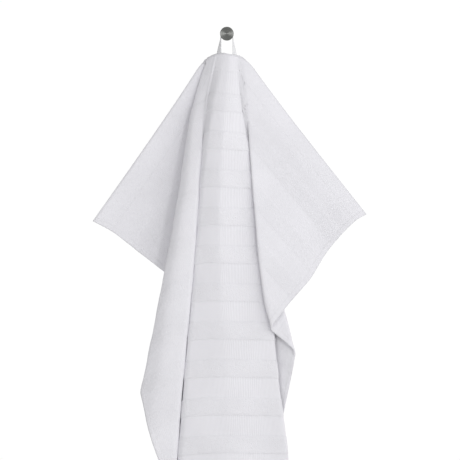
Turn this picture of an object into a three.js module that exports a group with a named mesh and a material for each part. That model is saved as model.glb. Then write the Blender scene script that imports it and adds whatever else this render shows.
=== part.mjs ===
// Bath towel hanging by its tape loop from a round steel wall peg.
// Millimetres, +Z up. The origin is the centre of the peg's back face, on the wall plane Y = 0.
// The room is on the -Y side, so "out" below is the distance from the wall, and Y = -out.
import * as THREE from 'three';

// Towel, as it was woven and hemmed
const TOWEL_WIDTH = 700;
const TOWEL_LENGTH = 1400;
const HALF_WIDTH = TOWEL_WIDTH / 2;
const PILE_THICKNESS = 3.0;
const RECESS_THICKNESS = 1.7;
const PRESSED_HEM_THICKNESS = 1.8;
const END_HEM = 31;
const RIB_PITCH = 60.6;
const RIB_START = 4.5;
const RIB_END = 34;
const RIB_RAMP = 3;
const LAST_RIB = 21;

// How it hangs
const HEM_DROP = 33;
const FAN_SLACK = 1500;
const WALK_STEP = 5;
const WALK_DROP = 1700;
const HEM_EASE = 120;
const FLAP_REACH = 200;

// Half the width of the soft bend that a folded edge still is where its depth hasn't grown.
const TIP_SPREAD = 1.2;
const CORNER_SHARE = 0.48;

// Grid of the cloth's solid
const EDGE_SPACING = 3;
const LEAST_SPACING = 2.2;
const SHARPEST_OFFSET = 0.8;
const LEAST_GAP = 0.001;

// Tape loop
const TAPE_WIDTH = 10;
const TAPE_THICKNESS = 1.2;
const TAPE_STEPS_OVER_PEG = 14;

// Peg
const NECK_RADIUS = 8.5;
const KNOB_RADIUS = 11;
const PEG_LENGTH = 45;
const KNOB_THICKNESS = 5.5;
const KNOB_RIM = 0.7;
const PEG_SEGMENTS = 48;
const SEAT_GAP = 0.3;

const DEGREE = Math.PI / 180;

// The folds from the left edge to the right one. Each is a line that fans out over the cloth from
// the end hem, and hangs as a curve in space.
//   hem    where the fold starts along the hem, from the hem's middle
//   rise   how much higher its start is than the hem's middle
//   fan    how fast it moves across the cloth for each millimetre down it
//   tip    half the depth of the folded edge; + where the cloth right of it lies nearer the room,
//          - where the cloth left of it does, 0 for a soft bend
//   starts and full: the rows between which that depth grows
//   round  cloth taken up by the bend on each side of the line
//   across and out: its place in X and from the wall, at each of the drops below the hem
const DROPS = [0, 20, 60, 100, 140, 200, 260, 360, 500, 700, 1400];
const FOLDS = [
  { name: 'left back valley', hem: -33, rise: -9, fan: -1.305,
    tip: 3, starts: 10, full: 50, round: 6,
    across: [-30.5, -28.5, -25, -23.3, -22, -19.5, -17, -14, -14, -16, -20],
    out: [21, 17.5, 13, 11, 10.5, 10, 9.5, 8.5, 7.4, 7.4, 8] },
  { name: 'left ridge', hem: -28, rise: -5, fan: -0.847,
    tip: 3.5, starts: 0, full: 60, round: 8,
    across: [-27, -33, -45.5, -56, -63, -72, -81.5, -100, -128, -170, -300],
    out: [26, 24.5, 24.5, 27, 31, 38, 44.5, 46, 44, 40, 30] },
  { name: 'left crest', hem: -24, rise: -3, fan: -0.735,
    tip: 0, starts: 0, full: 0, round: 16,
    across: [-23.5, -28.5, -41, -51, -57, -63, -71, -85, -104, -136, -220],
    out: [29.5, 29, 32, 38, 45, 54, 60, 63.5, 63, 58, 48] },
  { name: 'left lip', hem: -20, rise: -1, fan: -0.64,
    tip: 0, starts: 0, full: 0, round: 5,
    across: [-19.5, -24.5, -36, -42.5, -45, -44.9, -47.7, -55.8, -69.4, -85.5, -130],
    out: [32.5, 34, 37, 42.5, 49.5, 57, 61, 64, 65, 60, 48] },
  { name: 'left lip root', hem: -17.5, rise: 0, fan: -0.59,
    tip: 0, starts: 0, full: 0, round: 8,
    across: [-17, -21.5, -32.5, -38.5, -42.5, -44.6, -47.7, -55.8, -69.4, -85.5, -128],
    out: [34.5, 36.5, 39, 43, 47, 46, 43, 41, 40, 38, 32] },
  { name: 'left valley', hem: -15, rise: 1, fan: -0.38,
    tip: 3.5, starts: 80, full: 200, round: 6,
    across: [-15, -19, -29, -34.5, -39.5, -39, -32, -14, -1, 4, 20],
    out: [36.5, 39, 41, 44, 47, 44, 38, 29, 26, 25, 24] },
  { name: 'centre left foot', hem: -11, rise: 1.5, fan: -0.22,
    tip: 0, starts: 0, full: 0, round: 6,
    across: [-11, -16, -25.5, -31, -37.6, -41.4, -44.6, -52.2, -65.5, -82, -126],
    out: [38.5, 41.5, 44.5, 47.5, 51, 54.5, 57.5, 60, 60.5, 55, 44] },
  { name: 'centre left', hem: -4, rise: 2, fan: -0.18,
    tip: 0, starts: 0, full: 0, round: 12,
    across: [-4, -8.5, -17, -22, -26.5, -29, -32, -39, -51, -67, -108],
    out: [41.5, 47.5, 55.5, 58.8, 61.5, 64.2, 65.8, 67, 67.5, 64.5, 56] },
  { name: 'centre', hem: 4, rise: 0, fan: 0,
    tip: 0, starts: 0, full: 0, round: 60,
    across: [4, 3, 0, -3, -5, -7, -8, -5, 5, 14, 20],
    out: [44, 50, 58.5, 62.5, 65, 67, 68, 69, 69, 68, 62] },
  { name: 'centre right', hem: 13, rise: -1.5, fan: 0.15,
    tip: -3, starts: 90, full: 200, round: 7,
    across: [12, 16.5, 20.4, 25, 31.8, 41.3, 51, 66, 79.8, 103, 158],
    out: [41.5, 45.5, 51, 51, 49.5, 44.5, 43, 48.5, 56.5, 56, 50] },
  { name: 'right valley', hem: 15, rise: -2, fan: 0.42,
    tip: -4.5, starts: 90, full: 200, round: 7,
    across: [14.5, 18.5, 23.3, 27.7, 31.0, 22, 15, 12, 13, 20, 34],
    out: [39.5, 43.5, 49.8, 49.0, 42, 32.5, 29.5, 31.5, 37, 38, 32] },
  { name: 'right outer fold', hem: 18, rise: -3, fan: 1.05,
    tip: 3, starts: 90, full: 170, round: 6,
    across: [17.5, 21, 28, 32.5, 40.4, 54.2, 64.5, 79.5, 113, 143, 240],
    out: [37.5, 42.5, 49.4, 48.9, 41.5, 33, 35.5, 48.0, 60, 58, 48] },
  { name: 'right lip', hem: 22, rise: -5, fan: 1.235,
    tip: 3, starts: 90, full: 170, round: 5,
    across: [21, 23.5, 31.3, 35.7, 38.2, 42.2, 46.2, 56.5, 85, 120, 220],
    out: [38.5, 43.3, 50, 50.5, 51.5, 57.5, 62.0, 66.5, 69.5, 70, 70] },
];

// The corners of cloth beyond the outer folds, which hang flat, at each of the FLAP_ROWS.
//   lean      angle between the rows and the vertical, in degrees
//   stretch   seen length of a millimetre of cloth
//   out       how fast the cloth comes away from the wall
//   shoulder  where the stiff hem bends over, how far it stands up there, and how far down it fades
const FLAP_ROWS = [0, 30, 65, 110, 150, 300];
const LEFT_FLAP = {
  side: -1,
  lean: [-35.4, -35.2, -35, -34.7, -34.4, -33.5],
  stretch: [0.998, 1.003, 1.009, 1.017, 1.024, 1.05],
  out: [-0.02, -0.018, -0.015, -0.013, -0.01, -0.005],
  shoulder: { at: 54, lift: 4.5, fade: 60 },
};
const RIGHT_FLAP = {
  side: 1,
  lean: [38.6, 38.9, 39.3, 39.8, 40.3, 42],
  stretch: [0.98, 0.966, 0.969, 0.991, 1.014, 1.05],
  out: [0.01, 0, -0.013, -0.03, -0.045, -0.1],
  shoulder: { at: 48, lift: 5, fade: 50 },
};
const SHOULDER_SPREAD = 90;
const SHOULDER_ACROSS = 0.8;
const SHOULDER_UP = 0.6;

// Columns of the cloth's solid: a share of a flap, or a place on a fold's corner in roundings.
const SOFT_PLACES = { 'left crest': [-0.5, 0.5], 'left lip': [-0.5, 0.5],
  'left lip root': [-0.5, 0.5], 'centre': [-0.7, 0, 0.7] };
const LEFT_FLAP_SHARES = [0.3, 0.65];
const RIGHT_FLAP_SHARES = [0.35, 0.7];

// Rows of the cloth's solid in the top end hem, as shares of it.
const HEM_ROW_SHARES = [0, 0.45, 0.9];

// The tape loop's leg on one side, from the peg down to its end behind the hem.
//   turn is the tape's twist, from edge on to the room (0) to flat (90)
const LEFT_LEG = [
  { across: 9.9, out: 34, drop: 9, turn: 6 },
  { across: 10.9, out: 33.8, drop: 18, turn: 20 },
  { across: 12, out: 32.8, drop: 27, turn: 36 },
  { across: 12.6, out: 33.8, drop: 33, turn: 48 },
  { across: 12.8, out: 36.1, drop: 39, turn: 70 },
  { across: 12.9, out: 36.9, drop: 46, turn: 88 },
];
const RIGHT_LEG = [
  { across: 9.8, out: 34, drop: 9, turn: 5 },
  { across: 10.7, out: 34.5, drop: 18, turn: 16 },
  { across: 11.8, out: 35.3, drop: 27, turn: 28 },
  { across: 12.4, out: 36.5, drop: 33, turn: 38 },
  { across: 12.6, out: 37.8, drop: 39, turn: 64 },
  { across: 12.7, out: 39.4, drop: 46, turn: 86 },
];

function smoothStep(t) {
  const s = Math.min(1, Math.max(0, t));
  return s * s * (3 - 2 * s);
}

// A smooth curve through a table's values, whose slope at each place is that of its neighbours.
function tableSlope(places, values, i) {
  const step = (k) => (values[k + 1] - values[k]) / (places[k + 1] - places[k]);
  if (i === 0) return step(0);
  if (i === places.length - 1) return step(i - 1);
  const before = places[i] - places[i - 1];
  const after = places[i + 1] - places[i];
  return (step(i - 1) * after + step(i) * before) / (before + after);
}

function tableValue(places, values, place) {
  const last = places.length - 1;
  if (place >= places[last]) {
    return values[last] + (place - places[last]) * tableSlope(places, values, last);
  }
  let i = 0;
  while (places[i + 1] <= place) i += 1;
  const width = places[i + 1] - places[i];
  const t = (place - places[i]) / width;
  const s = t * t;
  const c = s * t;
  return (2 * c - 3 * s + 1) * values[i]
    + (c - 2 * s + t) * width * tableSlope(places, values, i)
    + (3 * s - 2 * c) * values[i + 1]
    + (c - s) * width * tableSlope(places, values, i + 1);
}

// Every fold fans out from the hem and slackens lower down, where the cloth hangs straighter.
const fanAt = (row) => FAN_SLACK * (1 - Math.exp(-row / FAN_SLACK));
const fanRate = (row) => Math.exp(-row / FAN_SLACK);

// A fold's line in space, and the length of it above each row of the cloth.
function walkFold(fold) {
  const line = [];
  let length = 0;
  for (let drop = 0; drop <= WALK_DROP; drop += WALK_STEP) {
    const rise = fold.rise * Math.max(0, 1 - drop / HEM_EASE);
    const point = new THREE.Vector3(
      tableValue(DROPS, fold.across, drop),
      -tableValue(DROPS, fold.out, drop),
      rise - HEM_DROP - drop);
    if (line.length > 0) length += point.distanceTo(line[line.length - 1].point);
    line.push({ length, point });
  }
  const rows = [0];
  for (let row = 0; row <= TOWEL_LENGTH; row += WALK_STEP) {
    const slope = fold.fan * fanRate(row + WALK_STEP / 2);
    rows.push(rows[rows.length - 1] + WALK_STEP * Math.hypot(1, slope));
  }
  return { ...fold, line, rows };
}

function lengthAtRow(fold, row) {
  const place = row / WALK_STEP;
  const i = Math.min(Math.floor(place), fold.rows.length - 2);
  return fold.rows[i] + (place - i) * (fold.rows[i + 1] - fold.rows[i]);
}

function pointOnFold(fold, length) {
  let i = 0;
  while (i < fold.line.length - 2 && fold.line[i + 1].length <= length) i += 1;
  const a = fold.line[i];
  const b = fold.line[i + 1];
  return a.point.clone().lerp(b.point, (length - a.length) / (b.length - a.length));
}

function flapDirection(flap, row) {
  const place = Math.min(row, FLAP_ROWS[FLAP_ROWS.length - 1]);
  const lean = tableValue(FLAP_ROWS, flap.lean, place) * DEGREE;
  const stretch = tableValue(FLAP_ROWS, flap.stretch, place);
  const out = tableValue(FLAP_ROWS, flap.out, place);
  return new THREE.Vector3(Math.sin(lean) * stretch, -out, -Math.cos(lean) * stretch);
}

// How much of a folded edge's depth is there at a row.
function tipGrowth(fold, row) {
  return smoothStep((row - fold.starts) / Math.max(fold.full - fold.starts, 1));
}

// One row of the cloth: a chain of corners joined by straight cloth. A folded edge has two
// corners, its tip's depth apart. Each corner is moved outwards so that the rounded cloth passes
// through the fold's own line.
function layRow(folds, row) {
  const corners = [];
  for (const fold of folds) {
    const u = fold.hem + fold.fan * fanAt(row);
    const length = lengthAtRow(fold, row);
    const slope = fold.fan * fanRate(row);
    const grown = tipGrowth(fold, row);
    const tip = Math.abs(fold.tip) * grown;
    const sides = fold.tip === 0 ? [0] : [-1, 1];
    for (const side of sides) {
      const point = pointOnFold(fold, length + side * tip * slope);
      point.x += side * TIP_SPREAD * (1 - grown);
      point.y -= side * tip * Math.sign(fold.tip);
      corners.push({ name: fold.name, u: u + side * tip * Math.hypot(1, slope), point, round: fold.round });
    }
  }
  const leftEnd = flapDirection(LEFT_FLAP, row);
  const rightEnd = flapDirection(RIGHT_FLAP, row);
  const first = corners[0];
  const last = corners[corners.length - 1];
  const chain = [
    { u: first.u - FLAP_REACH, point: first.point.clone().addScaledVector(leftEnd, FLAP_REACH) },
    ...corners,
    { u: last.u + FLAP_REACH, point: last.point.clone().addScaledVector(rightEnd, FLAP_REACH) },
  ];
  const bends = corners.map((corner, i) => {
    const before = chain[i];
    const after = chain[i + 2];
    const gapBefore = Math.max(corner.u - before.u, LEAST_GAP);
    const gapAfter = Math.max(after.u - corner.u, LEAST_GAP);
    const round = Math.min(corner.round, CORNER_SHARE * gapBefore, CORNER_SHARE * gapAfter);
    const back = before.point.clone().sub(corner.point).divideScalar(gapBefore);
    const on = after.point.clone().sub(corner.point).divideScalar(gapAfter);
    const point = corner.point.clone().addScaledVector(back.add(on), -round / 4);
    return { ...corner, point, round };
  });
  return { row, bends, leftEnd, rightEnd };
}

function straightCloth(laid, u) {
  const { bends, leftEnd, rightEnd } = laid;
  const first = bends[0];
  const last = bends[bends.length - 1];
  if (u <= first.u) return first.point.clone().addScaledVector(leftEnd, first.u - u);
  if (u >= last.u) return last.point.clone().addScaledVector(rightEnd, u - last.u);
  let i = 0;
  while (bends[i + 1].u < u) i += 1;
  const gap = bends[i + 1].u - bends[i].u;
  return bends[i].point.clone().lerp(bends[i + 1].point, gap > 0 ? (u - bends[i].u) / gap : 0);
}

function shoulderLift(row, u) {
  const flap = u < 0 ? LEFT_FLAP : RIGHT_FLAP;
  const { at, lift, fade } = flap.shoulder;
  const reach = Math.abs(u);
  const share = reach < at ? smoothStep(reach / at) : Math.exp((at - reach) / SHOULDER_SPREAD);
  const height = lift * share * Math.exp(-row / fade);
  return new THREE.Vector3(flap.side * SHOULDER_ACROSS * height, 0, SHOULDER_UP * height);
}

// The middle of the cloth's thickness at u across and the laid row down.
function clothPoint(laid, u) {
  const bend = laid.bends.find((b) => Math.abs(u - b.u) < b.round);
  let point;
  if (bend) {
    const t = (u - bend.u + bend.round) / (2 * bend.round);
    point = straightCloth(laid, bend.u - bend.round).multiplyScalar((1 - t) * (1 - t))
      .addScaledVector(bend.point, 2 * t * (1 - t))
      .addScaledVector(straightCloth(laid, bend.u + bend.round), t * t);
  } else {
    point = straightCloth(laid, u);
  }
  return point.add(shoulderLift(laid.row, u));
}

// The rows of the grid: two at each edge of a raised rib, and a few more in the gathered hem,
// which its folds press thin.
function towelRows() {
  const raised = PILE_THICKNESS / 2;
  const recessed = RECESS_THICKNESS / 2;
  const rows = [];
  for (const share of HEM_ROW_SHARES) {
    rows.push({ row: share * END_HEM, half: PRESSED_HEM_THICKNESS / 2 });
  }
  rows.push({ row: END_HEM, half: recessed });
  rows.push({ row: (END_HEM + RIB_PITCH + RIB_START) / 2, half: recessed });
  for (let n = 1; n <= LAST_RIB; n += 1) {
    const start = n * RIB_PITCH + RIB_START;
    const end = n * RIB_PITCH + RIB_END;
    rows.push({ row: start, half: recessed }, { row: start + RIB_RAMP, half: raised });
    rows.push({ row: end - RIB_RAMP, half: raised }, { row: end, half: recessed });
  }
  const lastHem = TOWEL_LENGTH - END_HEM;
  const lastEnd = LAST_RIB * RIB_PITCH + RIB_END;
  rows.push({ row: (lastEnd + lastHem) / 2, half: recessed });
  rows.push({ row: lastHem, half: recessed }, { row: lastHem + RIB_RAMP, half: raised });
  rows.push({ row: TOWEL_LENGTH, half: raised });
  return rows;
}

// The places across one row where the grid has a column: they follow the folds, and wait in line
// along the side hem once their fold has left the cloth.
function columnsOfRow(laid) {
  const first = laid.bends[0];
  const last = laid.bends[laid.bends.length - 1];
  const wanted = [-HALF_WIDTH];
  for (const share of LEFT_FLAP_SHARES) wanted.push(-HALF_WIDTH + share * (first.u + HALF_WIDTH));
  for (const bend of laid.bends) {
    for (const place of SOFT_PLACES[bend.name] ?? [0]) wanted.push(bend.u + place * bend.round);
  }
  for (const share of RIGHT_FLAP_SHARES) wanted.push(last.u + share * (HALF_WIDTH - last.u));
  wanted.push(HALF_WIDTH);
  const count = wanted.length;
  const middle = Math.floor(count / 2);
  for (let i = middle + 1; i < count; i += 1) {
    wanted[i] = Math.max(wanted[i], wanted[i - 1] + LEAST_SPACING);
  }
  for (let i = middle - 1; i >= 0; i -= 1) {
    wanted[i] = Math.min(wanted[i], wanted[i + 1] - LEAST_SPACING);
  }
  return wanted.map((u, i) => {
    const leftLimit = -HALF_WIDTH + i * EDGE_SPACING;
    const rightLimit = HALF_WIDTH - (count - 1 - i) * EDGE_SPACING;
    return Math.min(Math.max(u, leftLimit), rightLimit);
  });
}

// The directions out of the cloth at each point of a grid, long enough at a bend that the two
// faces keep their distance.
function clothOffsets(grid) {
  const faces = grid.slice(1).map((below, j) => below.slice(1).map((corner, i) => {
    const diagonal = corner.clone().sub(grid[j][i]);
    const other = grid[j][i + 1].clone().sub(grid[j + 1][i]);
    return diagonal.cross(other).normalize();
  }));
  return grid.map((points, j) => points.map((point, i) => {
    const sum = new THREE.Vector3();
    let count = 0;
    for (const face of [faces[j - 1]?.[i - 1], faces[j - 1]?.[i], faces[j]?.[i - 1], faces[j]?.[i]]) {
      if (!face) continue;
      sum.add(face);
      count += 1;
    }
    const mean = sum.divideScalar(count);
    const size = Math.max(mean.length(), SHARPEST_OFFSET);
    return mean.divideScalar(size * size);
  }));
}

// A closed skin round a grid of points: its front, its back, and the rim between them.
function sheetGeometry(front, back) {
  const rows = front.length;
  const columns = front[0].length;
  const positions = [...front.flat(), ...back.flat()].flatMap((p) => [p.x, p.y, p.z]);
  const onFront = (j, i) => j * columns + i;
  const onBack = (j, i) => rows * columns + j * columns + i;
  const index = [];
  const quad = (a, b, c, d) => index.push(a, b, c, a, c, d);
  for (let j = 0; j < rows - 1; j += 1) {
    for (let i = 0; i < columns - 1; i += 1) {
      quad(onFront(j, i), onFront(j + 1, i), onFront(j + 1, i + 1), onFront(j, i + 1));
      quad(onBack(j, i), onBack(j, i + 1), onBack(j + 1, i + 1), onBack(j + 1, i));
    }
    const right = columns - 1;
    quad(onFront(j, 0), onBack(j, 0), onBack(j + 1, 0), onFront(j + 1, 0));
    quad(onFront(j, right), onFront(j + 1, right), onBack(j + 1, right), onBack(j, right));
  }
  const bottom = rows - 1;
  for (let i = 0; i < columns - 1; i += 1) {
    quad(onFront(0, i), onFront(0, i + 1), onBack(0, i + 1), onBack(0, i));
    quad(onFront(bottom, i), onBack(bottom, i), onBack(bottom, i + 1), onFront(bottom, i + 1));
  }
  const geometry = new THREE.BufferGeometry();
  geometry.setAttribute('position', new THREE.Float32BufferAttribute(positions, 3));
  geometry.setIndex(index);
  geometry.computeVertexNormals();
  return geometry;
}

function towelGeometry() {
  const folds = FOLDS.map(walkFold);
  const rows = towelRows();
  const grid = rows.map(({ row }) => {
    const laid = layRow(folds, row);
    return columnsOfRow(laid).map((u) => clothPoint(laid, u));
  });
  const offsets = clothOffsets(grid);
  const face = (side) => grid.map((points, j) => points.map(
    (point, i) => point.clone().addScaledVector(offsets[j][i], side * rows[j].half)));
  return sheetGeometry(face(1), face(-1));
}

// The tape's sections from one end to the other: up one leg, over the peg and down the other.
function tapeSections() {
  const radius = NECK_RADIUS + SEAT_GAP + TAPE_THICKNESS / 2;
  const legSection = (side) => ({ across, out, drop, turn }) => ({
    centre: new THREE.Vector3(side * across, -out, -drop),
    normal: new THREE.Vector3(side * Math.cos(turn * DEGREE), -Math.sin(turn * DEGREE), 0),
  });
  const over = [];
  for (let i = 0; i <= TAPE_STEPS_OVER_PEG; i += 1) {
    const angle = Math.PI * (1 - i / TAPE_STEPS_OVER_PEG);
    const normal = new THREE.Vector3(Math.cos(angle), 0, Math.sin(angle));
    over.push({ centre: normal.clone().multiplyScalar(radius).setY(-LEFT_LEG[0].out), normal });
  }
  return [...LEFT_LEG.map(legSection(-1)).reverse(), ...over, ...RIGHT_LEG.map(legSection(1))];
}

function tapeGeometry() {
  const sections = tapeSections();
  const line = new THREE.CatmullRomCurve3(sections.map((s) => s.centre));
  const face = (side) => sections.map(({ centre, normal }, i) => {
    const along = line.getTangent(i / (sections.length - 1));
    const across = normal.clone().cross(along).normalize();
    const outwards = along.clone().cross(across).normalize();
    return [-1, 1].map((edge) => centre.clone()
      .addScaledVector(across, edge * TAPE_WIDTH / 2)
      .addScaledVector(outwards, side * TAPE_THICKNESS / 2));
  });
  return sheetGeometry(face(1), face(-1));
}

function pegGeometry() {
  const profile = [
    [0, 0],
    [NECK_RADIUS, 0],
    [NECK_RADIUS, KNOB_THICKNESS - PEG_LENGTH],
    [KNOB_RADIUS - KNOB_RIM, KNOB_THICKNESS - PEG_LENGTH],
    [KNOB_RADIUS, KNOB_THICKNESS - KNOB_RIM - PEG_LENGTH],
    [KNOB_RADIUS, KNOB_RIM - PEG_LENGTH],
    [KNOB_RADIUS - KNOB_RIM, -PEG_LENGTH],
    [0, -PEG_LENGTH],
  ];
  const points = profile.reverse().map(([radius, y]) => new THREE.Vector2(radius, y));
  return new THREE.LatheGeometry(points, PEG_SEGMENTS);
}

function piece(name, geometry, colour, roughness, metalness) {
  const material = new THREE.MeshStandardMaterial({ color: colour, roughness, metalness });
  const mesh = new THREE.Mesh(geometry, material);
  mesh.name = name;
  return mesh;
}

const part = new THREE.Group();
part.add(piece('towel', towelGeometry(), '#f4f4f2', 0.95, 0));
part.add(piece('hanging_loop', tapeGeometry(), '#ecece9', 0.9, 0));
part.add(piece('wall_peg', pegGeometry(), '#8f8f8d', 0.35, 1));

export default part;
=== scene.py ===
"""Bath towel hanging by its tape loop from a round turned peg: cloth, tape, metal and studio."""
import math
import bmesh
import bpy
import numpy as np
from mathutils import Matrix, Vector, noise


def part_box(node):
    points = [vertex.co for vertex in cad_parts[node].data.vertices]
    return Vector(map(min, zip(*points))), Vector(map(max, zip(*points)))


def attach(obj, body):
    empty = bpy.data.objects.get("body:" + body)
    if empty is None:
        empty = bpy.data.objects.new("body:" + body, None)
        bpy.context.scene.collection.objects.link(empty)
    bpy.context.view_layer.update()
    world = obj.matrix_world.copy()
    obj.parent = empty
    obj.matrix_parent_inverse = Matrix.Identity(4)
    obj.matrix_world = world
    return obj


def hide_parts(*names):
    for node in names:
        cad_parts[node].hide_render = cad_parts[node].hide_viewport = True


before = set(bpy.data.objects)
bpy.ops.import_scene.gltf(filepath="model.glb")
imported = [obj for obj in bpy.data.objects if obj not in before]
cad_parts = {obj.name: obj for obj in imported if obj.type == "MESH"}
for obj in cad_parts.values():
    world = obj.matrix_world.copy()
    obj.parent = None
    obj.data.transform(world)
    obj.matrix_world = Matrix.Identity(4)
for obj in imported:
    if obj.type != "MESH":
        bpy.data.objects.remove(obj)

bl_info = {
    "name": "Ribbed Bath Towel on a Peg",
    "version": (1, 0, 0),
    "blender": (4, 5, 0),
    "location": "View3D > Sidebar > Towel",
    "description": "Hangs a ribbed terry towel by its tape loop from a turned peg",
    "category": "Object",
}

MM = 0.001
DEGREE = math.pi / 180
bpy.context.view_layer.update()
PEG_LOW, PEG_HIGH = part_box("wall_peg")

# How the towel hangs, in millimetres. The hem is the gathered upper end.
#   HEM_DROP      from the peg's middle down to the hem's middle
#   FAN_SLACK     length of cloth in which the folds stop fanning out
#   WALK_STEP and WALK_DROP  steps and depth of the walk down a fold's line
#   HEM_EASE      depth below the hem at which its rise has faded
#   FLAP_REACH    how far a row is carried on beyond its outer folds
#   TIP_SPREAD    half the distance between a folded edge's two corners before it has any depth
#   TIP_LEAD      cloth led into such an edge from each side, for each millimetre down the cloth
#   CORNER_SHARE  the most of the cloth between two corners that one corner's bend takes up
#   LEAST_GAP     the least cloth between two corners
HEM_DROP = 33
FAN_SLACK = 1500
WALK_STEP = 5
WALK_DROP = 1700
HEM_EASE = 120
FLAP_REACH = 200
TIP_SPREAD = 1.2
TIP_LEAD = 0.085
CORNER_SHARE = 0.48
LEAST_GAP = 0.001

# The folds from the left edge to the right one. Each is a line that fans out over the cloth from
# the end hem, and hangs as a curve in space.
#   hem    where the fold starts along the hem, from the hem's middle
#   rise   how much higher its start is than the hem's middle
#   fan    how fast it moves across the cloth for each millimetre down it
#   tip    half the depth of the folded edge; + where the cloth right of it lies nearer the room,
#          - where the cloth left of it does, 0 for a soft bend
#   starts and full: the rows between which that depth grows
#   round  cloth taken up by the bend on each side of the line
#   across and out: its place in X and from the wall, at each of the drops below the hem
DROPS = [0, 20, 60, 100, 140, 200, 260, 360, 500, 700, 1400]
FOLDS = [
    {"name": "left back valley", "hem": -33, "rise": -9, "fan": -1.305,
     "tip": 3, "starts": 10, "full": 50, "round": 6,
     "across": [-30.5, -28.5, -25, -23.3, -22, -19.5, -17, -14, -14, -16, -20],
     "out": [21, 17.5, 13, 11, 10.5, 10, 9.5, 8.5, 7.4, 7.4, 8]},
    {"name": "left ridge", "hem": -28, "rise": -5, "fan": -0.847,
     "tip": 3.5, "starts": 0, "full": 60, "round": 8,
     "across": [-27, -33, -45.5, -56, -63, -72, -81.5, -100, -128, -170, -300],
     "out": [26, 24.5, 24.5, 27, 31, 38, 44.5, 46, 44, 40, 30]},
    {"name": "left crest", "hem": -24, "rise": -3, "fan": -0.735,
     "tip": 0, "starts": 0, "full": 0, "round": 16,
     "across": [-23.5, -28.5, -41, -51, -57, -63, -71, -85, -104, -136, -220],
     "out": [29.5, 29, 32, 38, 45, 54, 60, 63.5, 63, 58, 48]},
    {"name": "left lip", "hem": -20, "rise": -1, "fan": -0.64,
     "tip": 0, "starts": 0, "full": 0, "round": 5,
     "across": [-19.5, -24.5, -34, -39, -40.2, -44.7, -47.7, -55.8, -69.4, -85.5, -130],
     "out": [32.5, 34, 37, 42.5, 49.5, 57, 61, 64, 65, 60, 48]},
    {"name": "left lip root", "hem": -17.5, "rise": 0, "fan": -0.59,
     "tip": 0, "starts": 0, "full": 0, "round": 8,
     "across": [-17, -21.5, -31, -36.3, -39, -44.3, -47.7, -55.8, -69.4, -85.5, -128],
     "out": [34.5, 36.5, 39, 43, 47, 46, 43, 41, 40, 38, 32]},
    {"name": "left valley", "hem": -15, "rise": 1, "fan": -0.38,
     "tip": 3.5, "starts": 80, "full": 200, "round": 6,
     "across": [-15, -19, -28, -33.3, -37.4, -39, -32, -14, -1, 4, 20],
     "out": [36.5, 39, 41, 44, 47, 44, 38, 29, 26, 25, 24]},
    {"name": "centre left foot", "hem": -11, "rise": 1.5, "fan": -0.22,
     "tip": 0, "starts": 0, "full": 0, "round": 6,
     "across": [-11, -16, -25, -30.3, -36.4, -42.5, -46.2, -53.2, -65.9, -82, -126],
     "out": [38.5, 41.5, 44.5, 47.5, 51, 54.5, 57.5, 60, 60.5, 55, 44]},
    {"name": "centre left", "hem": -4, "rise": 2, "fan": -0.205,
     "tip": 0, "starts": 0, "full": 0, "round": 12,
     "across": [-4, -8.5, -18, -24.5, -30, -37, -41, -48.5, -61, -76, -116],
     "out": [41.5, 47, 54.5, 57.5, 60, 61.8, 63, 64.8, 66.2, 63.5, 54]},
    {"name": "centre left slope", "hem": 0, "rise": 1, "fan": -0.1,
     "tip": 0, "starts": 0, "full": 0, "round": 30,
     "across": [0, -2.5, -9, -14, -18, -23, -26, -28.5, -31, -34, -52],
     "out": [43.2, 49, 57.4, 61.2, 63.7, 65.6, 66.7, 68, 68.5, 67, 59]},
    {"name": "centre", "hem": 4, "rise": 0, "fan": 0,
     "tip": 0, "starts": 0, "full": 0, "round": 60,
     "across": [4, 3, 0, -3, -5, -7, -8, -5, 5, 14, 20],
     "out": [44, 50, 58.5, 62.5, 65, 67, 68, 69, 69, 68, 62]},
    {"name": "centre right slope", "hem": 8.5, "rise": -0.7, "fan": 0.05,
     "tip": 0, "starts": 0, "full": 0, "round": 30,
     "across": [8, 10, 11, 12, 14, 17.5, 22, 31, 43, 59, 90],
     "out": [43, 48.3, 56, 58.4, 59.5, 59.5, 59, 62, 64.8, 63.5, 57]},
    {"name": "centre right", "hem": 13, "rise": -1.5, "fan": 0.15,
     "tip": -3, "starts": 110, "full": 200, "round": 7,
     "across": [12, 16.5, 20.6, 25.8, 32.4, 41.3, 51, 66, 79.8, 103, 158],
     "out": [41.5, 45.3, 50.3, 51, 49.5, 47, 46, 51.5, 57.5, 56, 50]},
    {"name": "right valley", "hem": 15, "rise": -2, "fan": 0.42,
     "tip": -4.5, "starts": 110, "full": 200, "round": 7,
     "across": [14.5, 18.5, 23.4, 28, 30.7, 22, 15, 12, 13, 20, 34],
     "out": [39.5, 43.5, 49.9, 50.3, 45, 35.5, 31.5, 33.5, 38, 38, 32]},
    {"name": "right outer fold", "hem": 18, "rise": -3, "fan": 1.05,
     "tip": 3, "starts": 90, "full": 170, "round": 6,
     "across": [17.5, 21, 26.8, 31.3, 39.2, 53.6, 64.5, 79.5, 113, 143, 240],
     "out": [37.5, 42.7, 49.7, 50, 43.5, 35, 37, 49.5, 60, 58, 48]},
    {"name": "right lip", "hem": 22, "rise": -5, "fan": 1.235,
     "tip": 3, "starts": 90, "full": 170, "round": 5,
     "across": [21, 23.5, 29.6, 33.8, 37, 41.6, 46.2, 56.5, 85, 120, 220],
     "out": [38.5, 43.3, 50, 50.5, 51.5, 57, 61.5, 66.5, 69.5, 70, 70]},
]

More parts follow.
